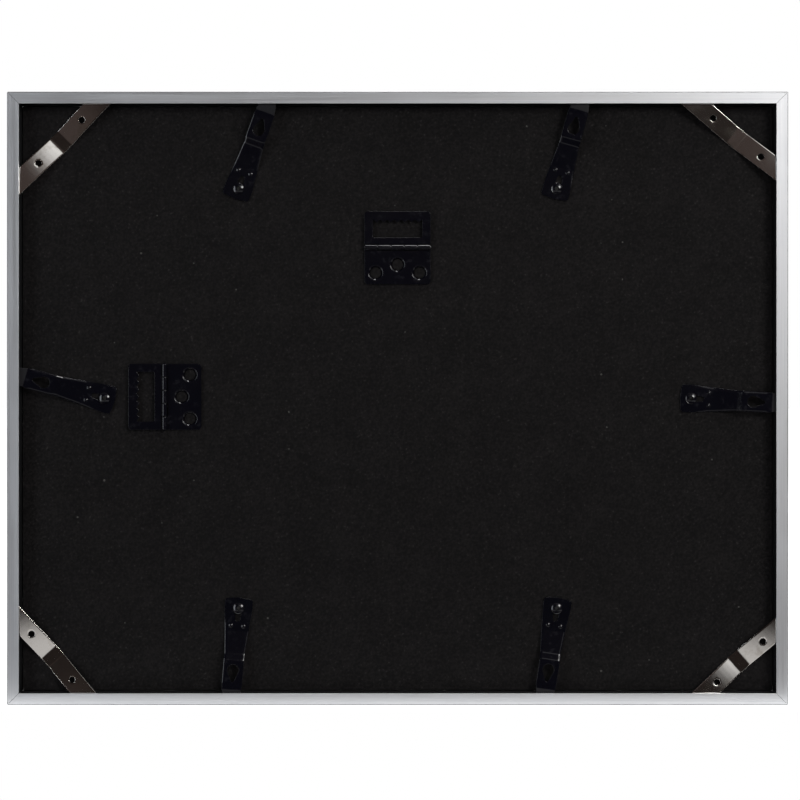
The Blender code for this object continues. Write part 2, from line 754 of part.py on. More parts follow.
add_rails(make_material("anodised_aluminium", (0.60, 0.61, 0.63), 0.38, 1.0))
add_corner_keys(make_material("key_steel", (0.45, 0.45, 0.46), 0.45, 1.0))
add_sheets(
    make_material("clear_glass", (0.95, 0.98, 0.97), 0.02, 0.0, transmission=1.0),
    make_material("white_mat_board", (0.86, 0.85, 0.82), 0.85, 0.0),
    make_material("print_paper", (0.55, 0.56, 0.57), 0.35, 0.0),
)
add_board(make_material("black_board", (0.008, 0.008, 0.008), 0.75, 0.0))
add_clips(
    make_material("black_spring_steel", (0.006, 0.006, 0.009), 0.22, 0.6),
    make_material("black_eyelet", (0.008, 0.008, 0.010), 0.20, 0.6),
)
add_hangers(make_material("black_hanger_steel", (0.007, 0.007, 0.010), 0.25, 0.6))
add_springs(make_material("nickel_plated_steel", (0.66, 0.63, 0.58), 0.20, 1.0))
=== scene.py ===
import json
import math

import bmesh
import bpy
import numpy as np
from mathutils import Matrix, Vector
from mathutils.geometry import delaunay_2d_cdt


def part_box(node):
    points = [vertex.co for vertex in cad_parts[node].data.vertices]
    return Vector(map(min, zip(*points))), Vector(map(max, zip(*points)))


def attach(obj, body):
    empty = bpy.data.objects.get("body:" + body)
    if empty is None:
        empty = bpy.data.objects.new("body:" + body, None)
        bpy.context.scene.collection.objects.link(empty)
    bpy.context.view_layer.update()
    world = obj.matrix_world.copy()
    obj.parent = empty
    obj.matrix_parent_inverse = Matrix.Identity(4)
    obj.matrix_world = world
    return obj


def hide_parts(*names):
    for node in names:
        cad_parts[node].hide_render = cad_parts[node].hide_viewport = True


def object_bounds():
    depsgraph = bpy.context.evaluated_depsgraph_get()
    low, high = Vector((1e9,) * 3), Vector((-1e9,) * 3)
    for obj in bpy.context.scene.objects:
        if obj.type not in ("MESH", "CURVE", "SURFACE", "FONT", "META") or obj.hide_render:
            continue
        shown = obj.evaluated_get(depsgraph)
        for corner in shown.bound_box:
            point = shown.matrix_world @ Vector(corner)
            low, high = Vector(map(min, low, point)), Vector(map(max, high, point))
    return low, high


# Collage picture frame, seen from the back: x runs right, z up, and the back faces -y.
# Sizes are in millimetres and are turned to metres when a mesh is made.

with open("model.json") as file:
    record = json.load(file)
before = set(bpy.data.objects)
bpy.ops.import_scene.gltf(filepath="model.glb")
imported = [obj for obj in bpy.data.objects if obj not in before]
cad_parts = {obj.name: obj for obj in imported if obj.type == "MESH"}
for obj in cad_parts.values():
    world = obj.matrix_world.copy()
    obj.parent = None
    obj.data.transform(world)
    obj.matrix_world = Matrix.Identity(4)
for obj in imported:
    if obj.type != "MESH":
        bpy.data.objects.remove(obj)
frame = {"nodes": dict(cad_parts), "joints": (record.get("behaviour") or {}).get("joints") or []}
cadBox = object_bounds()
nodes = frame["nodes"]
joints = {joint["name"]: joint for joint in frame["joints"]}
mm = 0.001
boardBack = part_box("backing_board")[0].y / mm
frameDepth = (cadBox[1].y - cadBox[0].y) / mm
frameWidth = (cadBox[1].x - cadBox[0].x) / mm
frameHeight = (cadBox[1].z - cadBox[0].z) / mm
print("loaded", len(nodes), "nodes")


# Node trees

class Wire:
    # an output socket; arithmetic on it adds Math nodes to its tree
    def __init__(self, bench, socket):
        self.bench = bench
        self.socket = socket

    def math(self, operation, *values):
        return self.bench.math(operation, self, *values)

    def __add__(self, other):
        return self.math("ADD", other)

    def __sub__(self, other):
        return self.math("SUBTRACT", other)

    def __mul__(self, other):
        return self.math("MULTIPLY", other)

    def __truediv__(self, other):
        return self.math("DIVIDE", other)

    def __rsub__(self, other):
        return self.bench.math("SUBTRACT", other, self)

    def __rtruediv__(self, other):
        return self.bench.math("DIVIDE", other, self)

    __radd__ = __add__
    __rmul__ = __mul__


class Bench:
    # adds nodes to one tree
    def __init__(self, tree):
        self.tree = tree

    def add(self, kind, settings=None, inputs=None, out=0):
        node = self.tree.nodes.new(kind)
        for key, value in (settings or {}).items():
            setattr(node, key, value)
        self.feed(node, inputs or {})
        return Wire(self, node.outputs[out])

    def feed(self, node, inputs):
        for key, value in inputs.items():
            wires = value if isinstance(value, list) else [value]
            for wire in wires:
                if isinstance(wire, Wire):
                    self.tree.links.new(wire.socket, node.inputs[key])
                else:
                    node.inputs[key].default_value = wire

    def math(self, operation, *values):
        return self.add("ShaderNodeMath", {"operation": operation}, dict(enumerate(values)))

    def between(self, value, low, high, start=0.0, end=1.0):
        inputs = {"Value": value, "From Min": low, "From Max": high, "To Min": start, "To Max": end}
        return self.add("ShaderNodeMapRange", {"interpolation_type": "SMOOTHSTEP"}, inputs)

    def mix(self, factor, first, second):
        colours = [value if isinstance(value, Wire) else (*value, 1.0) for value in (first, second)]
        return self.add("ShaderNodeMix", {"data_type": "RGBA"}, {0: factor, 6: colours[0], 7: colours[1]}, 2)

    def objectPoint(self):
        return self.add("ShaderNodeTexCoord", out="Object")

    def split(self, point):
        node = self.tree.nodes.new("ShaderNodeSeparateXYZ")
        self.feed(node, {0: point})
        return [Wire(self, socket) for socket in node.outputs]

    def rays(self, *kinds):
        # 1 for a ray of any of the kinds, 0 for all others
        wires = [self.add("ShaderNodeLightPath", out=f"Is {kind} Ray") for kind in kinds]
        for wire in wires[1:]:
            wires[0] = self.math("MAXIMUM", wires[0], wire)
        return wires[0]

    def noise(self, point, scale, detail=3.0, roughness=0.5):
        scale = scale if isinstance(scale, tuple) else (scale,) * 3
        stretched = self.add("ShaderNodeMapping", inputs={"Vector": point, "Scale": scale})
        inputs = {"Vector": stretched, "Scale": 1.0, "Detail": detail, "Roughness": roughness}
        return self.add("ShaderNodeTexNoise", inputs=inputs)

    def paint(self, colour, rough, height, strength, distance):
        # feeds the material's shader; height only bumps it, over a distance in millimetres
        bump = {"Height": height, "Strength": strength, "Distance": distance * mm}
        bump = self.add("ShaderNodeBump", inputs=bump)
        self.feed(self.shader, {"Base Color": colour, "Roughness": rough, "Normal": bump})
        return self.material

    def cover(self, surface):
        self.feed(self.tree.nodes["Material Output"], {"Surface": surface})
        return self.material


# Materials

def startMaterial(name, values):
    material = bpy.data.materials.new(name)
    material.use_nodes = True
    bench = Bench(material.node_tree)
    bench.material = material
    bench.shader = material.node_tree.nodes["Principled BSDF"]
    bench.feed(bench.shader, values)
    return bench, bench.objectPoint()


railLook = {
    "pale": (0.71, 0.72, 0.74), "grey": (0.6, 0.61, 0.635), "roughLow": 0.4, "roughHigh": 0.54,
    # the groove's tone and the outer edge's tone are painted shade
    "lines": 5200.0, "bands": 700.0, "along": 14.0, "paintedGrooveShade": (0.018, 0.018, 0.019), "grooveRough": 0.66,
    "paintedEdgeShade": (0.2, 0.2, 0.21), "cloud": 30.0, "scratchRough": 0.08,
    # millimetres in from the outside, and from the back or front, over which the painted shade in the groove
    # and on the outer edge fades in
    "grooveIn": (0.5, 0.7), "grooveShadeDeep": (1.1, 1.3), "edgeShadeIn": (0.62, 0.38), "edgeShadeDeep": (0.75, 0.45),
}


def railAluminium(name, direction, look=railLook):
    # satin anodised aluminium with brushing along the rail; dull and coloured with painted shade in the
    # groove, with a painted shade band on the back's outer edge
    bench, point = startMaterial(name, {"Metallic": 1.0})
    fineScale = tuple(look["along"] if axis == direction else look["lines"] for axis in "XYZ")
    bandScale = tuple(look["along"] / 3 if axis == direction else look["bands"] for axis in "XYZ")
    lines = bench.noise(point, fineScale, 2.0)
    bands = bench.noise(point, bandScale, 3.0)
    cloud = bench.noise(point, look["cloud"], 2.0)
    tone = bench.between(lines * 0.45 + bands * 0.4 + cloud * 0.15, 0.36, 0.64)
    scratch = bench.between(bench.noise(point, tuple(value * 0.6 for value in fineScale), 1.0), 0.7, 0.76)
    x, y, z = bench.split(point)
    outwards, half = (z, frameHeight / 2) if direction == "X" else (x, frameWidth / 2)
    outwards = outwards.math("ABSOLUTE")
    halfDepth = frameDepth / 2

    def zone(value, edge, inwards):
        return bench.between(value, *((edge - reach) * mm for reach in inwards))

    # painted shade: the groove between the back lip and the board is coloured near black, where shade falls
    groove = zone(outwards, half, look["grooveIn"])
    groove *= zone(y.math("ABSOLUTE"), halfDepth, look["grooveShadeDeep"])
    # painted shade: a darker band on the back's outer edge, where its rounding turns away from the light
    edge = zone(outwards, half, look["edgeShadeIn"]) * zone(y * -1.0, halfDepth, look["edgeShadeDeep"])
    brushedAndEdgeShaded = bench.mix(edge, bench.mix(tone, look["grey"], look["pale"]), look["paintedEdgeShade"])
    satin = bench.between(tone, 0.0, 1.0, look["roughHigh"], look["roughLow"])
    satin -= scratch * look["scratchRough"]
    # the groove's painted shade goes into the colour here
    colour = bench.mix(groove, brushedAndEdgeShaded, look["paintedGrooveShade"])
    rough = satin * (1.0 - groove) + groove * look["grooveRough"]
    return bench.paint(colour, rough, lines * 0.7 + bands * 0.3 - scratch * 0.4, 0.22, 0.02)


boardLook = {
    "black": (0.0031, 0.0027, 0.0029), "fibre": (0.0086, 0.0076, 0.0078), "speck": (0.05, 0.048, 0.046),
    "fibres": 1500.0, "grains": 760.0, "dust": 310.0, "mottle": 45.0,
}


def blackBoard(look=boardLook):
    # fibreboard faced in matt black paper, with pale fibres and specks of dust
    bench, point = startMaterial("blackFibreboard", {"Specular IOR Level": 0.09})
    fibres = bench.noise(point, look["fibres"], 4.0, 0.65)
    mottle = bench.noise(point, look["mottle"], 3.0)
    grains = bench.noise(point, look["grains"], 1.0)
    dust = bench.noise(point, look["dust"], 0.0)
    paper = bench.between(fibres * 0.4 + grains * 0.45 + mottle * 0.15, 0.38, 0.64)
    paper = bench.mix(paper, look["black"], look["fibre"])
    flecked = bench.mix(bench.between(grains, 0.7, 0.8) * 0.25, paper, look["speck"])
    colour = bench.mix(bench.between(dust, 0.86, 0.9), flecked, look["speck"])
    rough = bench.between(fibres, 0.3, 0.7, 0.72, 0.92)
    return bench.paint(colour, rough, fibres * 0.7 + grains * 0.3, 0.35, 0.06)


steelLook = {
    "lacquer": (0.0022, 0.0022, 0.004), "worn": (0.008, 0.008, 0.011), "roughLow": 0.1, "roughHigh": 0.22,
    # tone and roughness of the paler band towards a clip's tip
    "paleTip": (0.0075, 0.0073, 0.009), "paleTipRough": 0.42,
    "ripple": 420.0, "scuff": (260.0, 900.0, 260.0), "smear": 70.0,
}


def blackSteel(name, shine, paleTipFrom=None, look=steelLook):
    # blue-black lacquer on pressed steel, with a faint ripple and dull scuffs
    # past the given point along the sheet, the lacquer turns paler and duller towards the tip
    bench, point = startMaterial(name, {"Specular IOR Level": shine})
    ripple = bench.noise(point, look["ripple"], 2.0)
    scuff = bench.between(bench.noise(point, look["scuff"], 4.0, 0.6), 0.56, 0.7)
    smear = bench.noise(point, look["smear"], 3.0)
    colour = bench.mix(scuff * 0.5, look["lacquer"], look["worn"])
    rough = bench.between(smear + scuff * 0.35, 0.3, 0.9, look["roughLow"], look["roughHigh"])
    if paleTipFrom is not None:
        along, _, _ = bench.split(bench.add("ShaderNodeUVMap", {"uv_map": "sheet"}))
        # a paler, duller band along the sheet towards the clip's tip
        paleTip = bench.between(along + (smear - 0.5) * 0.012, paleTipFrom - 0.004, paleTipFrom + 0.006)
        colour = bench.mix(paleTip, colour, look["paleTip"])
        rough = rough * (1.0 - paleTip) + paleTip * look["paleTipRough"]
    return bench.paint(colour, rough, ripple, 0.1, 0.05)


nickelLook = {
    "bright": (0.8, 0.775, 0.735), "stain": (0.6, 0.555, 0.49), "roughLow": 0.08, "roughHigh": 0.13,
    "lines": (2.0, 260.0, 1.0), "stains": 95.0, "pits": 1400.0,
}


def nickelPlate(look=nickelLook):
    # bright plating over rolled strip: fine lines along the strip and a few brown stains
    bench, point = startMaterial("nickelPlate", {"Metallic": 1.0})
    flat = bench.add("ShaderNodeUVMap", {"uv_map": "sheet"})
    lines = bench.noise(flat, look["lines"], 3.0)
    stains = bench.between(bench.noise(point, look["stains"], 4.0, 0.6), 0.48, 0.72)
    pits = bench.between(bench.noise(point, look["pits"], 1.0), 0.7, 0.8)
    colour = bench.mix(stains * 0.7 + pits * 0.3, look["bright"], look["stain"])
    worn = lines * 0.6 + stains * 0.4
    rough = bench.between(worn, 0.2, 0.8, look["roughLow"], look["roughHigh"])
    return bench.paint(colour, rough, lines - pits * 0.5, 0.08, 0.02)


keyLook = {"dull": (0.36, 0.37, 0.385), "bright": (0.56, 0.57, 0.59), "spangle": 240.0}


def keySteel(look=keyLook):
    # zinc-plated pressing, never seen from outside
    bench, point = startMaterial("keySteel", {"Metallic": 1.0})
    spangle = bench.noise(point, look["spangle"])
    colour = bench.mix(spangle, look["dull"], look["bright"])
    return bench.paint(colour, bench.between(spangle, 0.3, 0.7, 0.34, 0.52), spangle, 0.15, 0.05)


matLook = {"low": (0.74, 0.735, 0.715), "high": (0.83, 0.825, 0.805), "tooth": 1900.0, "cloud": 60.0}


def matBoard(look=matLook):
    # white mat board with a soft paper tooth
    bench, point = startMaterial("matBoard", {"Specular IOR Level": 0.25})
    tooth = bench.noise(point, look["tooth"], 4.0, 0.6)
    cloud = bench.noise(point, look["cloud"])
    colour = bench.mix(tooth * 0.7 + cloud * 0.3, look["low"], look["high"])
    return bench.paint(colour, bench.between(tooth, 0.3, 0.7, 0.82, 0.95), tooth, 0.25, 0.05)


def clearGlass():
    # float glass that lets lamps through to the mat, with a trace of dust
    clear = {"Base Color": (0.97, 0.99, 0.98, 1.0), "Transmission Weight": 1.0, "IOR": 1.5}
    bench, point = startMaterial("clearGlass", clear)
    smear = bench.noise(point, 35.0, 4.0)
    bench.feed(bench.shader, {"Roughness": bench.between(smear, 0.45, 0.8, 0.0, 0.03)})
    pane = Wire(bench, bench.shader.outputs[0])
    through = bench.add("ShaderNodeBsdfTransparent")
    lamps = bench.rays("Shadow", "Diffuse")
    return bench.cover(bench.add("ShaderNodeMixShader", inputs={0: lamps, 1: pane, 2: through}))


# Each print shows plain layered hills: sky from low to high, then ridges from far to near
printLooks = {
    "print_left_upper": {
        "sky": ((0.7, 0.62, 0.55), (0.2, 0.33, 0.52)), "seed": 3.1, "reach": 0.1,
        "ridges": ((0.52, (0.27, 0.34, 0.42)), (0.4, (0.13, 0.19, 0.24)), (0.24, (0.045, 0.07, 0.08))),
    },
    "print_left_lower": {
        "sky": ((0.66, 0.71, 0.72), (0.35, 0.52, 0.66)), "seed": 7.7, "reach": 0.14,
        "ridges": ((0.62, (0.26, 0.37, 0.3)), (0.46, (0.12, 0.22, 0.1)), (0.26, (0.05, 0.1, 0.035))),
    },
    "print_middle_upper": {
        "sky": ((0.78, 0.45, 0.22), (0.22, 0.26, 0.42)), "seed": 12.4, "reach": 0.03,
        "ridges": ((0.46, (0.16, 0.17, 0.23)), (0.4, (0.09, 0.13, 0.18)), (0.16, (0.035, 0.04, 0.05))),
    },
    "print_middle_lower": {
        "sky": ((0.74, 0.76, 0.74), (0.3, 0.48, 0.68)), "seed": 18.9, "reach": 0.16,
        "ridges": ((0.6, (0.36, 0.42, 0.46)), (0.44, (0.3, 0.34, 0.12)), (0.26, (0.42, 0.33, 0.08))),
    },
    "print_right_upper": {
        "sky": ((0.76, 0.7, 0.6), (0.42, 0.56, 0.68)), "seed": 23.3, "reach": 0.12,
        "ridges": ((0.5, (0.58, 0.44, 0.29)), (0.38, (0.45, 0.31, 0.17)), (0.22, (0.28, 0.17, 0.08))),
    },
    "print_right_lower": {
        "sky": ((0.66, 0.68, 0.7), (0.38, 0.43, 0.49)), "seed": 29.6, "reach": 0.18,
        "ridges": ((0.66, (0.52, 0.54, 0.57)), (0.46, (0.27, 0.3, 0.33)), (0.24, (0.09, 0.11, 0.1))),
    },
}
cloudWhite = (0.82, 0.81, 0.8)


def printPaper(name, look):
    # satin photo paper with a generic view on it
    bench, point = startMaterial(name + "Paper", {"Specular IOR Level": 0.4})
    low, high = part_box(name)
    across, _, up = bench.split(point)
    across = (across - low.x) / (high.x - low.x)
    up = (up - low.z) / (high.z - low.z)
    clouds = bench.between(bench.noise(point, (18.0, 18.0, 70.0), 5.0, 0.55), 0.52, 0.75)
    clouds = clouds * bench.between(up, 0.5, 0.8) * 0.7
    picture = bench.mix(bench.between(up, 0.35, 1.0), *look["sky"])
    picture = bench.mix(clouds, picture, cloudWhite)
    leaves = bench.noise(point, 330.0, 4.0, 0.7)
    for index, (height, colour) in enumerate(look["ridges"]):
        shape = {"W": across * (2.2 + 1.3 * index) + look["seed"] + 4.0 * index, "Scale": 1.0, "Detail": 5.0}
        ridge = bench.add("ShaderNodeTexNoise", {"noise_dimensions": "1D"}, shape)
        edge = (ridge - 0.5) * (2 * look["reach"]) + height + leaves * 0.012 * index
        dark = tuple(value * 0.55 for value in colour)
        ground = bench.mix(bench.between(leaves, 0.3, 0.7), dark, colour)
        picture = bench.mix(bench.between(edge - up, -0.004, 0.004), picture, ground)
    sheen = bench.noise(point, 900.0, 2.0)
    return bench.paint(picture, bench.between(sheen, 0.3, 0.7, 0.3, 0.42), sheen, 0.05, 0.02)


alongX = railAluminium("railAluminiumLevel", "X")
alongZ = railAluminium("railAluminiumUpright", "Z")
# the clips turn paler and duller near their tips
clipBlack = blackSteel("clipBlackSteel", 0.3, paleTipFrom=0.986)
eyeletBlack = blackSteel("eyeletBlackSteel", 0.45)
hangerBlack = blackSteel("hangerBlackSteel", 0.4)
nickel = nickelPlate()
print("materials made")


# Mesh tools

sharpAngle = math.radians(42)


def addObject(name, data):
    made = bpy.data.objects.new(name, data)
    bpy.context.scene.collection.objects.link(made)
    return made


def addMesh(name, points, sides, faces):
    mesh = bpy.data.meshes.new(name)
    mesh.from_pydata(points, sides, faces)
    return mesh


def finishPiece(name, mesh, material, body, slot, *stoodFor):
    # puts a finished mesh in the scene as a piece that stands for CAD nodes
    if not mesh.materials:
        mesh.materials.append(material)
    mesh.name = name
    mesh.shade_smooth()
    mesh.set_sharp_from_angle(angle=sharpAngle)
    piece = addObject(name, mesh)
    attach(piece, body)
    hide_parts(*stoodFor)


def backView(x, y, height, turn=0.0):
    # from millimetres in the back view, height out of the board's back, to metres in the frame
    place = Matrix(((1, 0, 0, x), (0, 0, -1, boardBack - height), (0, 1, 0, y), (0, 0, 0, 1)))
    return Matrix.Scale(mm, 4) @ place @ Matrix.Rotation(math.radians(turn), 4, "Z")


def joinMeshes(*meshes):
    shape = bmesh.new()
    for mesh in meshes:
        shape.from_mesh(mesh)
    joined = bpy.data.meshes.new("joined")
    shape.to_mesh(joined)
    shape.free()
    return joined


def closedMesh(mesh, reach):
    # merges the seams of a made shape and turns its faces out
    shape = bmesh.new()
    shape.from_mesh(mesh)
    bmesh.ops.remove_doubles(shape, verts=shape.verts, dist=reach)
    bmesh.ops.recalc_face_normals(shape, faces=shape.faces)
    shape.to_mesh(mesh)
    shape.free()
    return mesh


def roundedLine(corners, steps=7):
    # a closed line through corners given as x, y and radius
    points = []
    for index, (x, y, radius) in enumerate(corners):
        if radius == 0:
            points.append((x, y))
            continue
        before = corners[index - 1]
        after = corners[(index + 1) % len(corners)]
        start = math.atan2(before[1] - y, before[0] - x)
        end = math.atan2(after[1] - y, after[0] - x)
        opening = (end - start + math.pi) % (2 * math.pi) - math.pi
        reach = radius / math.sin(abs(opening) / 2)
        middle = (x + reach * math.cos(start + opening / 2), y + reach * math.sin(start + opening / 2))
        first = start - math.copysign(math.pi / 2, opening)
        sweep = math.copysign(math.pi - abs(opening), opening)
        for step in range(steps + 1):
            angle = first - sweep * step / steps
            points.append((middle[0] + radius * math.cos(angle), middle[1] + radius * math.sin(angle)))
    return points


def circleLine(radius, x=0.0, y=0.0, steps=36):
    turns = [2 * math.pi * step / steps for step in range(steps)]
    return [(x + radius * math.cos(turn), y + radius * math.sin(turn)) for turn in turns]


def teardropLine(radius, centre, tip, end, steps=24):
    # a round end at centre that narrows along x to a smaller round tip
    small = end - tip
    tangent = math.acos((radius - tip) / (small - centre))
    line = []
    for middle, size, start, sweep in (
        (centre, radius, tangent, 2 * (math.pi - tangent)), (small, tip, -tangent, 2 * tangent),
    ):
        turns = [start + sweep * step / steps for step in range(steps + 1)]
        line += [(middle + size * math.cos(turn), size * math.sin(turn)) for turn in turns]
    return line


def signedArea(line):
    after = line[1:] + line[:1]
    return sum(ax * by - bx * ay for (ax, ay), (bx, by) in zip(line, after)) / 2


def divided(line, step):
    # the same closed line with no side longer than step
    points = []
    for (ax, ay), (bx, by) in zip(line, line[1:] + line[:1]):
        count = max(1, math.ceil(math.hypot(bx - ax, by - ay) / step))
        points += [(ax + (bx - ax) * part / count, ay + (by - ay) * part / count) for part in range(count)]
    return points


def closedSides(lines):
    # pairs of points around each closed line, numbered one line after another
    sides = []
    for line in lines:
        first, count = len(sides), len(line)
        sides += [(first + index, first + (index + 1) % count) for index in range(count)]
    return sides


def inwardNormals(line):
    # directions into the material, on the left of the line, longer at sharp corners
    normals = []
    for index, (x, y) in enumerate(line):
        before = Vector((x - line[index - 1][0], y - line[index - 1][1])).normalized()
        following = line[(index + 1) % len(line)]
        after = Vector((following[0] - x, following[1] - y)).normalized()
        middle = Vector((-before.y - after.y, before.x + after.x))
        middle.normalize()
        normals.append(middle / max(0.5, middle.x * -before.y + middle.y * before.x))
    return normals


def insideLines(points, lines):
    # for each point: inside the first line and outside the others, and how far from all of them
    inside = np.zeros(len(points), bool)
    nearest = np.full(len(points), np.inf)
    for line in lines:
        starts = np.array(line)
        ends = np.roll(starts, -1, axis=0)
        for start, end in zip(starts, ends):
            crosses = (start[1] > points[:, 1]) != (end[1] > points[:, 1])
            if crosses.any():
                reach = (points[crosses, 1] - start[1]) / (end[1] - start[1])
                inside[crosses] ^= points[crosses, 0] < start[0] + reach * (end[0] - start[0])
            side = end - start
            part = np.clip(((points - start) @ side) / (side @ side), 0, 1)
            nearest = np.minimum(nearest, np.hypot(*(points - start - part[:, None] * side).T))
    return inside, nearest


sheet = {
    "rowShift": 0.25, "edgeRoom": 0.55, "sliver": 1e-4, "rimSteps": 4, "slopeReach": 0.05, "uvSpan": 100.0,
}


def level(_x, _y):
    return 0.0


def sheetMetal(lines, sizes, extras=(), lift=level):
    # a pressed sheet: a flat outline with holes, rounded along every edge, lifted out of its plane
    edge, step, half = sizes["edge"], sizes["step"], sizes["thickness"] / 2
    lines = [divided(line, step) for line in lines]
    lines = [
        line if (signedArea(line) > 0) == (index == 0) else line[::-1] for index, line in enumerate(lines)
    ]
    normals = [inwardNormals(line) for line in lines]
    insets = [
        [(x + edge * normal.x, y + edge * normal.y) for (x, y), normal in zip(line, sides)]
        for line, sides in zip(lines, normals)
    ]
    outer = np.array(insets[0])
    xs = np.arange(outer[:, 0].min(), outer[:, 0].max(), step)
    ys = np.arange(outer[:, 1].min(), outer[:, 1].max(), step)
    shift = step * sheet["rowShift"]
    grid = np.array([(x + shift * (row % 2), y) for row, y in enumerate(ys) for x in xs] + list(extras))
    inside, nearest = insideLines(grid, insets)
    grid = grid[inside & (nearest > step * sheet["edgeRoom"])]
    flat = [point for line in insets for point in line] + [tuple(point) for point in grid]
    cut = delaunay_2d_cdt([Vector(point) for point in flat], closedSides(insets), [], 0, 1e-7)
    middles = [sum((cut[0][index] for index in face), Vector((0.0, 0.0))) / len(face) for face in cut[2]]
    inside, nearest = insideLines(np.array(middles), insets)
    kept = inside & (nearest > sheet["sliver"])  # leaves out slivers on a line
    source = [origins[0] for origins in cut[3]]
    faces = [[source[index] for index in face] for face, keep in zip(cut[2], kept) if keep]

    # x, y and height over the middle of the sheet
    points = [(x, y, half) for x, y in flat] + [(x, y, -half) for x, y in flat]
    polygons = faces + [[index + len(flat) for index in reversed(face)] for face in faces]
    quarter = [math.pi / 2 * part / sheet["rimSteps"] for part in range(1, sheet["rimSteps"] + 1)]
    rim = [(edge - edge * math.sin(turn), half - edge + edge * math.cos(turn)) for turn in quarter]
    rim += [(inset, -height) for inset, height in reversed(rim)]
    first = 0
    for line, directions in zip(lines, normals):
        count = len(line)
        rows = [list(range(first, first + count))]
        for inset, height in rim:
            rows.append(list(range(len(points), len(points) + count)))
            points += [
                (x + inset * side.x, y + inset * side.y, height) for (x, y), side in zip(line, directions)
            ]
        rows.append([index + len(flat) for index in rows[0]])
        for upper, lower in zip(rows, rows[1:]):
            for index in range(count):
                following = (index + 1) % count
                polygons.append([upper[index], lower[index], lower[following], upper[following]])
        first += count

    reach = sheet["slopeReach"]
    placed = []
    for x, y, height in points:
        slopeX = (lift(x + reach, y) - lift(x - reach, y)) / (2 * reach)
        slopeY = (lift(x, y + reach) - lift(x, y - reach)) / (2 * reach)
        normal = Vector((-slopeX, -slopeY, 1.0)).normalized()
        placed.append(Vector((x, y, lift(x, y))) + normal * height)
    mesh = addMesh("sheet", placed, [], polygons)
    layer = mesh.uv_layers.new(name="sheet")
    for loop in mesh.loops:
        x, y, _ = points[loop.vertex_index]
        layer.data[loop.index].uv = (x / sheet["uvSpan"] + 0.5, y / sheet["uvSpan"] + 0.5)
    return mesh


def softLine(points, spread, samples=6):
    # height along x through the points, with every bend rounded over spread to both sides
    def straight(x):
        for (ax, ay), (bx, by) in zip(points, points[1:]):
            if x <= bx or (bx, by) == points[-1]:
                return ay + (by - ay) * (x - ax) / (bx - ax)

    def soft(x):
        offsets = [spread * part / samples for part in range(-samples, samples + 1)]
        return sum(straight(x + offset) for offset in offsets) / len(offsets)

    return soft


def turnedMesh(profile, steps=48):
    # a closed profile of radius and height, spun about z
    count = len(profile)
    points = []
    for step in range(steps):
        turn = 2 * math.pi * step / steps
        points += [(radius * math.cos(turn), radius * math.sin(turn), height) for radius, height in profile]
    faces = []
    for step in range(steps):
        here = step * count
        there = (step + 1) % steps * count
        for index in range(count):
            after = (index + 1) % count
            faces.append((here + index, there + index, there + after, here + after))
    return closedMesh(addMesh("turned", points, [], faces), 1e-5)


# Geometry node trees

def startTree(name, sizes):
    tree = bpy.data.node_groups.new(name, "GeometryNodeTree")
    tree.interface.new_socket("Geometry", in_out="INPUT", socket_type="NodeSocketGeometry")
    for label, kind in sizes.items():
        tree.interface.new_socket(label, in_out="INPUT", socket_type="NodeSocket" + kind)
    tree.interface.new_socket("Geometry", in_out="OUTPUT", socket_type="NodeSocketGeometry")
    bench = Bench(tree)
    start = tree.nodes.new("NodeGroupInput")
    given = {socket.name: Wire(bench, socket) for socket in start.outputs if socket.name}
    return tree, bench, given


def endTree(bench, shape, material):
    real = bench.add("GeometryNodeRealizeInstances", inputs={"Geometry": shape})
    dressed = bench.add("GeometryNodeSetMaterial", inputs={"Geometry": real, "Material": material})
    end = bench.tree.nodes.new("NodeGroupOutput")
    bench.feed(end, {"Geometry": dressed})


def growMesh(tree, mesh, values):
    # runs a tree once on a mesh and keeps the result as a plain mesh
    holder = addObject("holder", mesh)
    modifier = holder.modifiers.new("nodes", "NODES")
    modifier.node_group = tree
    for item in tree.interface.items_tree:
        if item.in_out == "INPUT" and item.name in values:
            modifier[item.identifier] = values[item.name]
    bpy.context.view_layer.update()
    evaluated = holder.evaluated_get(bpy.context.evaluated_depsgraph_get())
    grown = bpy.data.meshes.new_from_object(evaluated)
    bpy.data.objects.remove(holder)
    return grown


def railTree():
    # fills a section, draws it out to a length and mitres both ends
    sizes = {"Length": "Float", "Mitre Gap": "Float", "Corner Steps": "Int", "Finish": "Material"}
    tree, bench, given = startTree("mitredRail", sizes)
    rounding = bench.add("GeometryNodeInputNamedAttribute", {"data_type": "FLOAT"}, {"Name": "rounding"})
    section = bench.add("GeometryNodeMeshToCurve", inputs={"Mesh": given["Geometry"]})
    section = bench.add("GeometryNodeFilletCurve", {"mode": "POLY"}, {
        "Curve": section, "Radius": rounding, "Count": given["Corner Steps"], "Limit Radius": True,
    })
    cap = bench.add("GeometryNodeFillCurve", {"mode": "TRIANGLES"}, {"Curve": section})
    drawn = bench.add("GeometryNodeExtrudeMesh", {"mode": "FACES"}, {
        "Mesh": cap, "Offset Scale": given["Length"], "Individual": False,
    })
    other = bench.add("GeometryNodeFlipFaces", inputs={"Mesh": cap})
    bar = bench.add("GeometryNodeJoinGeometry", inputs={"Geometry": [drawn, other]})
    bar = bench.add("GeometryNodeMergeByDistance", inputs={"Geometry": bar, "Distance": 0.000001})
    inward, depth, along = bench.split(bench.add("GeometryNodeInputPosition"))
    setback = given["Mitre Gap"] / math.sqrt(2)
    side = bench.math("SIGN", along.math("ABSOLUTE") - given["Length"] / 2)
    mitred = bench.add("ShaderNodeCombineXYZ", inputs={
        0: inward, 1: depth, 2: side * (given["Length"] / 2 - inward - setback),
    })
    bar = bench.add("GeometryNodeSetPosition", inputs={"Geometry": bar, "Position": mitred})
    endTree(bench, bar, given["Finish"])
    return tree


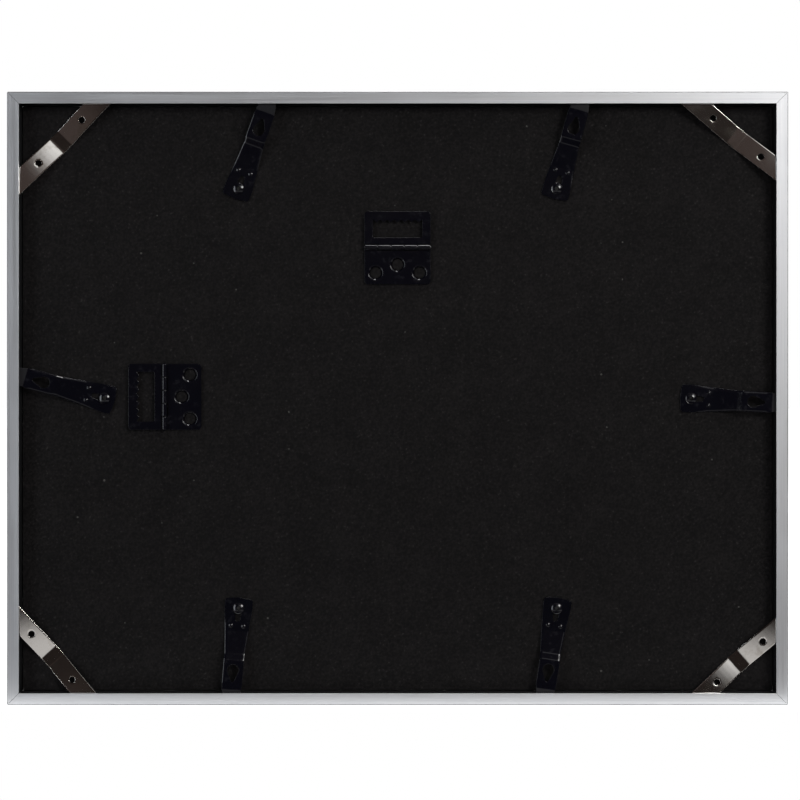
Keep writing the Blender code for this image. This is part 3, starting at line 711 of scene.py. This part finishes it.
def endCopies(bench, given, points):
    # ends a tree with one piece on every point
    piece = bench.add("GeometryNodeObjectInfo", inputs={"Object": given["Piece"]}, out="Geometry")
    copies = bench.add("GeometryNodeInstanceOnPoints", inputs={"Points": points, "Instance": piece})
    endTree(bench, copies, given["Finish"])


def placesTree():
    tree, bench, given = startTree("pieceOnPlaces", {"Piece": "Object", "Finish": "Material"})
    endCopies(bench, given, given["Geometry"])
    return tree


def rowTree():
    # a centred row of one piece along x
    sizes = {"Piece": "Object", "Count": "Int", "Pitch": "Float", "Finish": "Material"}
    tree, bench, given = startTree("pieceInRow", sizes)
    start = bench.add("ShaderNodeCombineXYZ", inputs={0: (given["Count"] - 1) * given["Pitch"] * -0.5})
    step = bench.add("ShaderNodeCombineXYZ", inputs={0: given["Pitch"]})
    line = {"Count": given["Count"], "Start Location": start, "Offset": step}
    endCopies(bench, given, bench.add("GeometryNodeMeshLine", inputs=line))
    return tree


onPlaces = placesTree()
inRow = rowTree()


def copies(tree, points, mesh, material, values):
    # grows copies of a mesh, which a helper object holds meanwhile
    helper = addObject("copied", mesh)
    grown = growMesh(tree, points, {"Piece": helper, "Finish": material, **values})
    bpy.data.objects.remove(helper)
    return grown


def copiesOn(places, mesh, material):
    points = addMesh("places", [(*place, 0.0) for place in places], [], [])
    return copies(onPlaces, points, mesh, material, {})


def copiesInRow(count, pitch, mesh, material):
    return copies(inRow, bpy.data.meshes.new("row"), mesh, material, {"Count": count, "Pitch": pitch})


# Rails

rail = {
    "wall": 1.2, "web": 1.0, "backLip": 7.15, "frontLip": 12.0, "groove": 6.0, "mitreGap": 0.2,
    "outerRound": 0.45, "innerRound": 0.12, "edgeRound": 0.35, "cornerRound": 0.1, "hold": 0.12, "steps": 5,
}


def held(corners):
    # a point just before and after each rounding, so that the flats between them shade flat
    points = []
    for index, (x, y, radius) in enumerate(corners):
        near = []
        for otherX, otherY, _ in (corners[index - 1], corners[(index + 1) % len(corners)]):
            part = (radius + rail["hold"]) / math.hypot(otherX - x, otherY - y)
            near.append((x + (otherX - x) * part, y + (otherY - y) * part, 0.0))
        points += [near[0], (x, y, radius), near[1]]
    return points


def sectionMesh():
    # the rail's outline and its hollow, x inwards and y in from the back, with a rounding at each corner
    wall, lip, depth = rail["wall"], rail["backLip"], frameDepth - rail["wall"]
    small, edge, outer = rail["cornerRound"], rail["edgeRound"], rail["outerRound"]
    shelf = wall + rail["groove"]
    outline = [
        (0.0, 0.0, outer), (lip, 0.0, rail["innerRound"]), (lip, wall, edge), (wall, wall, small),
        (wall, shelf, small), (lip, shelf, edge), (lip, depth, small), (rail["frontLip"], depth, edge),
        (rail["frontLip"], frameDepth, edge), (0.0, frameDepth, outer),
    ]
    chamber, side = shelf + rail["web"], lip - rail["web"]
    hollow = [(wall, chamber, small), (side, chamber, small), (side, depth, small), (wall, depth, small)]
    outline, hollow = held(outline), held(hollow)
    corners = outline + hollow
    points = [(x * mm, (y - frameDepth / 2) * mm, 0.0) for x, y, _ in corners]
    mesh = addMesh("section", points, closedSides([outline, hollow]), [])
    rounding = mesh.attributes.new("rounding", "FLOAT", "POINT")
    rounding.data.foreach_set("value", [radius * mm for _, _, radius in corners])
    return mesh


mitredRail = railTree()
for name, length, x, z, turn, finish in (
    ("left", frameHeight, -frameWidth / 2, 0.0, 0.0, alongZ),
    ("bottom", frameWidth, 0.0, -frameHeight / 2, 90.0, alongX),
    ("right", frameHeight, frameWidth / 2, 0.0, 180.0, alongZ),
    ("top", frameWidth, 0.0, frameHeight / 2, -90.0, alongX),
):
    sizes = {
        "Length": length * mm, "Mitre Gap": rail["mitreGap"] * mm,
        "Corner Steps": rail["steps"], "Finish": finish,
    }
    mesh = closedMesh(growMesh(mitredRail, sectionMesh(), sizes), 1e-7)
    mesh.transform(Matrix.Translation((x * mm, 0.0, z * mm)) @ Matrix.Rotation(math.radians(-turn), 4, "Y"))
    finishPiece("mitred_rail_" + name, mesh, finish, "frame", "rail_aluminium", "rail_" + name)
print("rails made")


# Turn clips

clip = {
    "thickness": 0.7, "edge": 0.2, "step": 0.55, "gap": 0.3, "room": 6.8,
    "length": 55.5, "heel": 6.7, "heelBow": 0.9, "heelRound": 1.8, "heelWidth": 17.0,
    "tongueWidth": 12.3, "tipWidth": 9.4, "tipRound": 1.0,
    "ramp": 13.5, "stepStart": 27.1, "stepLength": 4.2, "stepSteep": 0.3, "tip": 46.8, "bend": 0.55,
    "rampRise": 2.5, "tongueRise": 0.4, "tipRise": 0.7,
    "slotRadius": 2.2, "slotTip": 1.5, "slotEnd": 8.0,
    "drop": 37.1, "dropRadius": 3.5, "dropTip": 1.0, "dropEnd": 44.4,
    "dot": 10.7, "dotSpread": 7.7, "dotRadius": 1.3, "dotHeight": 0.5,
    "dotRings": ((14, 0.25), (18, 0.5), (22, 0.7), (26, 0.9), (30, 1.1), (34, 1.3)),
    "bendRows": (-8.0, 8.1, 0.8), "bendStep": 0.2,
    "rollWidth": 1.5, "rollDrop": 0.35, "rollStart": 2.0, "rollGrow": 8.0, "rollEnd": 2.0,
    "headings": {
        "top_left": 70.0, "top_right": 74.5, "left": 165.0,
        "right": -3.0, "bottom_left": 265.5, "bottom_right": 261.5,
    },
}


def limited(value):
    return min(1.0, max(0.0, value))


def clipMesh():
    half = clip["heelWidth"] / 2
    tongueHalf = clip["tongueWidth"] / 2
    upper = [
        (-clip["heel"], 0.0, half), (-clip["heel"] + clip["heelBow"], half, clip["heelRound"]),
        (0.0, half, clip["heel"]), (clip["stepStart"], tongueHalf, clip["heel"]),
        (clip["tip"], tongueHalf, clip["tipRound"]), (clip["length"], clip["tipWidth"] / 2, clip["tipRound"]),
    ]
    outline = roundedLine(upper + [(x, -y, radius) for x, y, radius in reversed(upper) if y > 0])
    slot = teardropLine(clip["slotRadius"], 0.0, clip["slotTip"], clip["slotEnd"])
    drop = teardropLine(clip["dropRadius"], clip["drop"], clip["dropTip"], clip["dropEnd"])
    foot = clip["gap"] + clip["thickness"] / 2
    tipTop = clip["room"] - clip["gap"] - clip["thickness"] / 2
    tongue = tipTop - clip["tipRise"]
    stepFoot = clip["stepStart"] + clip["stepSteep"]
    stepTop = clip["stepStart"] + clip["stepLength"] - clip["stepSteep"]
    sideLine = softLine([
        (-clip["length"], foot), (clip["ramp"], foot), (stepFoot, foot + clip["rampRise"]),
        (stepTop, tongue - clip["tongueRise"]), (clip["tip"], tongue), (clip["length"], tipTop),
    ], clip["bend"])
    dots = [(clip["dot"], side * clip["dotSpread"] / 2) for side in (-1, 1)]

    def lift(x, y):
        height = sideLine(x)
        for dotX, dotY in dots:
            part = math.hypot(x - dotX, y - dotY) / clip["dotRadius"]
            if part < 1:
                height += clip["dotHeight"] * math.cos(part * math.pi / 2) ** 1.5
        taper = limited((x - clip["rollStart"]) / clip["rollGrow"])
        taper *= limited((clip["tip"] - x) / clip["rollEnd"])
        width = half + (tongueHalf - half) * limited(x / clip["stepStart"])
        roll = limited((abs(y) - width + clip["rollWidth"]) / clip["rollWidth"])
        return height - clip["rollDrop"] * roll * roll * taper

    # more points where the dots and the bends need them
    extras = []
    for dotX, dotY in dots:
        extras.append((dotX, dotY))
        for count, radius in clip["dotRings"]:
            extras += circleLine(radius, dotX, dotY, count)
    step = clip["bendStep"]
    for bend in (clip["ramp"], stepFoot, stepTop, clip["tip"]):
        for across in np.arange(*clip["bendRows"]):
            extras += [(bend + step * part, across + step) for part in range(-5, 6)]
    return sheetMetal([outline, slot, drop], clip, extras, lift)


oneClip = clipMesh()
pivots = {}
for place, heading in clip["headings"].items():
    pivot = joints[f"clip_{place}_turn"]["pos_m"]
    pivots[place] = (pivot[0] / mm, pivot[2] / mm)
    mesh = oneClip.copy()
    mesh.transform(backView(*pivots[place], 0.0, heading))
    finishPiece("pressed_clip_" + place, mesh, clipBlack, "clip_" + place, "clip_steel", "turn_clip_" + place)
print("clips made")


# Eyelets

eyelet = {
    "bore": 1.2, "shank": 1.9, "head": 3.4, "headHeight": 1.05, "capRadius": 6.0, "under": 1.3,
    "foot": -2.7, "flare": 2.9, "flareHeight": 0.4, "flareSlope": 0.3,
    # offsets that soften the head's rim and its bore
    "rimSoft": ((0.0, 0.0), (0.0, 0.06), (0.04, 0.12)), "boreSoft": ((0.07, 0.02), (0.02, 0.07), (0.0, 0.16)),
    "domeSoft": (0.15, 0.16), "domeSteps": 14,
}


def eyeletMesh():
    bore, rim = eyelet["bore"], eyelet["head"]
    top = eyelet["under"] + eyelet["headHeight"]

    def cap(radius):
        return top - eyelet["capRadius"] + math.sqrt(eyelet["capRadius"] ** 2 - radius ** 2)

    first, last = eyelet["domeSoft"]
    dome = [(rim - inset, eyelet["under"] + rise) for inset, rise in eyelet["rimSoft"]]
    dome += [(radius, cap(radius)) for radius in np.linspace(rim - first, bore + last, eyelet["domeSteps"])]
    dome += [(bore + inset, cap(bore) - drop) for inset, drop in eyelet["boreSoft"]]
    shoulder = eyelet["foot"] + eyelet["flareHeight"]
    stem = [
        (bore, eyelet["foot"]), (eyelet["flare"], eyelet["foot"]), (eyelet["flare"], shoulder),
        (eyelet["shank"], shoulder + eyelet["flareSlope"]), (eyelet["shank"], eyelet["under"]),
    ]
    return turnedMesh(dome + stem)


eyelets = copiesOn(pivots.values(), eyeletMesh(), eyeletBlack)
eyelets.transform(backView(0.0, 0.0, 0.0))
stoodFor = ["clip_eyelet_" + place for place in pivots]
finishPiece("rolled_eyelets", closedMesh(eyelets, 1e-8), eyeletBlack, "frame", "eyelet_steel", *stoodFor)
print("eyelets made")


# Hangers

hanger = {
    "width": 40.2, "thickness": 0.8, "edge": 0.15, "corner": 2.0, "step": 0.9, "gap": 0.3,
    "baseHeight": 22.4, "flapHeight": 21.9, "tabInset": 0.25, "baseTab": 0.0, "flapTab": 1.2,
    "knuckles": 5, "knuckleRadius": 1.6, "knuckleSoft": 0.25, "boreRadius": 0.95, "hingeHeight": 1.9,
    "windowWidth": 30.2, "windowStart": 5.9, "windowHeight": 10.9, "windowRound": 1.0,
    "teeth": 7, "toothPitch": 4.25, "toothHeight": 1.5,
    "ringFunnel": 4.5, "ringBore": 3.6, "ringWall": 0.55, "ringDepth": 2.2,
    "ringPlaces": ((0.0, -10.4), (-13.4, -15.4), (13.4, -15.4)),
}
knucklePitch = hanger["width"] / hanger["knuckles"]


def leafLine(height, owned, tabStart):
    # a leaf from its tabs at the hinge to its far corners, notched where the other leaf's knuckles are
    half = hanger["width"] / 2
    clear = hanger["knuckleRadius"] + hanger["gap"]
    last = hanger["knuckles"] - 1
    line = []
    for index in range(hanger["knuckles"]):
        inset = hanger["tabInset"] if index in owned else -hanger["tabInset"]
        left = -half + index * knucklePitch
        right = left + knucklePitch
        start = tabStart if index in owned else clear
        line.append((left + (inset if index else 0.0), start, 0.0))
        line.append((right - (inset if index < last else 0.0), start, 0.0))
    return roundedLine(line + [(half, height, hanger["corner"]), (-half, height, hanger["corner"])])


def windowLine():
    # the flap's window with a row of teeth on the side away from the hinge
    half = hanger["windowWidth"] / 2
    near = hanger["windowStart"]
    far = near + hanger["windowHeight"]
    row = hanger["teeth"] * hanger["toothPitch"]
    line = [(-half, near, hanger["windowRound"]), (half, near, hanger["windowRound"]), (half, far, 0.0)]
    for tooth in range(hanger["teeth"]):
        right = row / 2 - tooth * hanger["toothPitch"]
        line += [(right, far, 0.0), (right - hanger["toothPitch"] / 2, far - hanger["toothHeight"], 0.0)]
    return roundedLine(line + [(-row / 2, far, 0.0), (-half, far, 0.0)])


def barrelMesh():
    # one curled knuckle along x, with softened ends
    outer, bore = hanger["knuckleRadius"], hanger["boreRadius"]
    half = (knucklePitch - hanger["gap"]) / 2
    soft = hanger["knuckleSoft"]
    side = [(bore, half), (outer - soft, half), (outer - soft * 0.3, half - soft * 0.3), (outer, half - soft)]
    side.append((outer, half - soft - 0.15))
    profile = [(radius, -along) for radius, along in side] + side[::-1]
    mesh = turnedMesh(profile, 32)
    mesh.transform(Matrix.Rotation(math.pi / 2, 4, "Y"))
    return mesh


def ringMesh(top):
    # a funnel that narrows through the leaf to a ring pressed into the board
    under = top - hanger["thickness"]
    foot = under - hanger["ringDepth"]
    funnel, bore, wall = hanger["ringFunnel"], hanger["ringBore"], hanger["ringWall"]
    profile = [
        (funnel + 0.3, top - 0.35), (funnel + 0.3, top - 0.03), (funnel + 0.1, top - 0.02),
        (funnel - 0.1, top - 0.08), (bore + 0.2, under + 0.08), (bore + 0.05, under - 0.05),
        (bore, under - 0.25), (bore, foot), (bore + wall, foot), (bore + wall, under), (funnel, under + 0.1),
    ]
    return turnedMesh(profile[::-1])


barrel = barrelMesh()
ownedByBase = range(0, hanger["knuckles"], 2)
ownedByFlap = range(1, hanger["knuckles"], 2)

baseTop = -(hanger["thickness"] / 2 + hanger["gap"])
baseMiddle = baseTop - hanger["thickness"] / 2
baseLine = [(x, -y) for x, y in leafLine(hanger["baseHeight"], ownedByBase, hanger["baseTab"])]
ringHoles = [circleLine(hanger["ringFunnel"] + 0.05, x, y, 44) for x, y in hanger["ringPlaces"]]
leaf = sheetMetal([baseLine, *ringHoles], hanger)
leaf.transform(Matrix.Translation((0.0, 0.0, baseMiddle)))
rings = copiesOn(hanger["ringPlaces"], ringMesh(baseTop), hangerBlack)
baseBarrels = copiesInRow(len(ownedByBase), 2 * knucklePitch, barrel, hangerBlack)
oneBase = joinMeshes(leaf, rings, baseBarrels)

flapLine = leafLine(hanger["flapHeight"], ownedByFlap, hanger["flapTab"])
flapLeaf = sheetMetal([flapLine, windowLine()], hanger)
flapBarrels = copiesInRow(len(ownedByFlap), 2 * knucklePitch, barrel, hangerBlack)
oneFlap = joinMeshes(flapLeaf, flapBarrels)

for place, turn in (("top", 0.0), ("side", 90.0)):
    hinge = joints[place + "_flap_swing"]["pos_m"]
    spot = backView(hinge[0] / mm, hinge[2] / mm, hanger["hingeHeight"], turn)
    for kind, source, body in (("base", oneBase, "frame"), ("flap", oneFlap, place + "_flap")):
        mesh = source.copy()
        mesh.transform(spot)
        node = f"{place}_hanger_{kind}"
        finishPiece("pressed_" + node, mesh, hangerBlack, body, "hanger_steel", node)
print("hangers made")


# Corner springs

spring = {
    "width": 12.0, "thickness": 0.5, "edge": 0.12, "step": 0.8, "halfLength": 35.5, "foot": 6.7, "bend": 0.7,
    "holeRadius": 1.95, "holeSpread": 37.3, "bow": 0.35, "bowSteps": 12, "cornerRound": 0.45, "crown": 0.02,
    "gap": 0.3, "room": 6.8, "openingHalf": (229.4, 178.6), "grooveDepth": 5.95,
    "bendRows": (-5.4, 5.5, 0.9), "bendOffsets": (-0.9, -0.45, 0.0, 0.45, 0.9),
    # side, rise, turn and the shares of the groove that its ends reach into
    "places": {
        "top_left": (-1, 1, 45.0, 0.15, 0.44), "top_right": (1, 1, -38.8, 0.78, 0.39),
        "bottom_left": (-1, -1, 131.5, 0.73, 0.86), "bottom_right": (1, -1, 221.8, 0.875, 0.87),
    },
}


def springMesh():
    half = spring["width"] / 2
    longSide = spring["halfLength"] + half
    shortSide = spring["halfLength"] - half
    ends = [(-longSide, -half), (longSide, -half), (shortSide, half), (-shortSide, half)]
    outline = roundedLine([(*end, spring["cornerRound"]) for end in ends])
    holes = [circleLine(spring["holeRadius"], side * spring["holeSpread"] / 2) for side in (-1, 1)]
    foot = spring["gap"] + spring["thickness"] / 2
    rise = spring["room"] - spring["gap"] - spring["thickness"] / 2 - foot
    start = spring["foot"] / 2
    wing = []
    for step in range(spring["bowSteps"] + 1):
        part = step / spring["bowSteps"]
        bowed = (1 + spring["bow"]) * part - spring["bow"] * part * part
        wing.append((start + (longSide - start) * part, foot + rise * bowed))
    sideLine = softLine([(-x, height) for x, height in reversed(wing)] + wing, spring["bend"])

    def lift(x, y):
        return sideLine(x) - spring["crown"] * (y / half) ** 2

    extras = [
        (side * start + offset, across) for side in (-1, 1)
        for across in np.arange(*spring["bendRows"]) for offset in spring["bendOffsets"]
    ]
    return sheetMetal([outline, *holes], spring, extras, lift)


oneSpring = springMesh()
for place, (side, rise, turn, shareX, shareZ) in spring["places"].items():
    angle = math.radians(turn)
    reachX = spring["halfLength"] * abs(math.cos(angle))
    reachZ = spring["halfLength"] * abs(math.sin(angle))
    x = spring["openingHalf"][0] + shareX * spring["grooveDepth"] - reachX
    z = spring["openingHalf"][1] + shareZ * spring["grooveDepth"] - reachZ
    mesh = oneSpring.copy()
    mesh.transform(backView(side * x, rise * z, 0.0, turn))
    finishPiece("bowed_spring_" + place, mesh, nickel, "frame", "spring_nickel", "corner_spring_" + place)
print("springs made")


# Looks of the CAD pieces that stay

def dress(name, material):
    for holder in nodes[name].material_slots:
        holder.material = material


dress("backing_board", blackBoard())
dress("collage_mat", matBoard())
dress("glass", clearGlass())
for name, look in printLooks.items():
    dress(name, printPaper(name, look))
keyFinish = keySteel()
for name in nodes:
    if name.startswith("corner_key"):
        dress(name, keyFinish)
    if name.endswith("_pin"):
        dress(name, hangerBlack)
print("CAD pieces dressed")


# Studio

studio = {
    "cameraDistance": 1.05, "lens": 78.05, "shift": (0.003, -0.002),
    "lamps": {
        "key": {"place": (1.2, -1.4, 0.78), "size": 0.8, "power": 20.5, "colour": (1.0, 0.985, 0.96)},
        "fill": {
            "place": (-1.6, -1.15, 0.1), "size": 0.7, "tall": 2.2, "power": 14.0, "colour": (0.88, 0.94, 1.0),
        },
        "top": {"place": (0.15, -0.3, 1.5), "size": 0.45, "power": 6.5, "colour": (1.0, 1.0, 1.0)},
        "glass": {"place": (0.1, 1.3, 1.7), "size": 0.9, "power": 16.0, "colour": (1.0, 0.99, 0.975)},
    },
    "worldDiffuse": 0.42, "room": (0.015, 0.011, 0.01), "wood": (0.05, 0.038, 0.035),
    "panel": (0.92, 0.92, 0.93), "table": (0.54, 0.53, 0.53),
    "white": (1.0, 1.0, 1.0), "whiteAhead": (-0.05, 0.1),
    # soft edges of what metal mirrors: an axis, and where it fades in from and to
    "beside": (("right", 0.37, 0.47), ("right", 0.76, 0.64), ("up", 0.02, 0.13)),
    "above": (("up", 0.28, 0.42), ("up", 0.64, 0.52), ("right", -0.03, 0.07)),
    "below": (("up", -0.27, -0.4), ("up", -0.64, -0.52)),
    "woodHigh": (("up", 0.06, 0.13), ("right", -0.18, -0.12)),
    "woodLow": (("right", -0.26, -0.4), ("up", 0.12, -0.08)),
    "floorColour": (0.86, 0.86, 0.855), "floorGlow": 0.68,
    "floorFront": -0.028, "floorReach": 30.0, "floorDrop": 0.0002,
    # behind the frame the lamps light the floor, so it glows less there and the shadow shows
    "shadowGlow": 0.05, "shadowReach": (1.6, 0.35), "shadowFront": (-0.012, 0.0),
    "shadowSide": (0.24, 0.17), "shadowSpread": 0.23,
}
scene = bpy.context.scene
scene.view_settings.view_transform = "Standard"


def areaLamp(name, look):
    data = bpy.data.lights.new(name, "AREA")
    data.shape = "ELLIPSE"
    data.size = look["size"]
    data.size_y = look.get("tall", look["size"])
    data.energy = look["power"]
    data.color = look["colour"]
    lamp = addObject(name, data)
    lamp.location = look["place"]
    lamp.rotation_euler = (-Vector(look["place"])).to_track_quat("-Z", "Y").to_euler()


def studioWorld():
    # white where it is looked at; metal mirrors a dim room behind the camera, with soft panels in it
    world = bpy.data.worlds.new("studio")
    world.use_nodes = True
    bench = Bench(world.node_tree)
    right, ahead, up = bench.split(bench.add("ShaderNodeTexCoord", out="Generated"))
    axes = {"right": right, "up": up}

    def region(name):
        fades = [bench.between(axes[axis], low, high) for axis, low, high in studio[name]]
        return math.prod(fades[1:], start=fades[0])

    wood = bench.math("MAXIMUM", region("woodHigh"), region("woodLow"))
    room = bench.mix(region("below"), bench.mix(wood, studio["room"], studio["wood"]), studio["table"])
    room = bench.mix(bench.math("MAXIMUM", region("above"), region("beside")), room, studio["panel"])
    mirrored = bench.mix(bench.between(ahead, *studio["whiteAhead"]), room, studio["white"])
    lit = bench.mix(bench.rays("Glossy"), (studio["worldDiffuse"],) * 3, mirrored)
    colour = bench.mix(bench.rays("Camera", "Transmission"), lit, studio["white"])
    bench.feed(world.node_tree.nodes["Background"], {"Color": colour})
    scene.world = world


def studioFloor():
    # a wide pale floor under the bottom rail; it glows where it is looked at, and keeps the shadow
    bench, point = startMaterial("floorPaper", {"Roughness": 0.9})
    pale = studio["floorColour"]
    shade = tuple(value * 0.985 for value in pale)
    bench.feed(bench.shader, {"Base Color": bench.mix(bench.noise(point, 300.0), shade, pale)})
    across, away, _ = bench.split(point)
    shadowed = bench.between(bench.math("SQRT", across * across + away * away), *studio["shadowReach"])
    shadowed *= bench.between(away, *studio["shadowFront"])
    sideways = across.math("ABSOLUTE") - away * studio["shadowSpread"]
    shadowed *= bench.between(sideways, *studio["shadowSide"])
    strength = studio["floorGlow"] - shadowed * (studio["floorGlow"] - studio["shadowGlow"])
    seen = bench.rays("Camera", "Glossy", "Transmission")
    paper = Wire(bench, bench.shader.outputs[0])
    glow = bench.add("ShaderNodeEmission")
    glowing = bench.add("ShaderNodeAddShader", inputs={0: paper, 1: glow})
    lit = bench.add("ShaderNodeMixShader", inputs={0: seen * strength, 1: paper, 2: glowing})
    ground = cadBox[0].z - studio["floorDrop"]
    front, reach = studio["floorFront"], studio["floorReach"]
    corners = [(-reach, front), (reach, front), (reach, reach), (-reach, reach)]
    mesh = addMesh("floor", [(*corner, ground) for corner in corners], [], [(0, 1, 2, 3)])
    mesh.materials.append(bench.cover(lit))
    floor = addObject("floor", mesh)


def studioCamera():
    data = bpy.data.cameras.new("camera")
    data.lens = studio["lens"]
    data.shift_x, data.shift_y = studio["shift"]
    camera = addObject("camera", data)
    camera.location = (0.0, cadBox[0].y - studio["cameraDistance"], 0.0)
    camera.rotation_euler = (math.pi / 2, 0.0, 0.0)
    scene.camera = camera


for name, look in studio["lamps"].items():
    areaLamp(name + "Lamp", look)
studioWorld()
studioFloor()
studioCamera()
print("studio made")
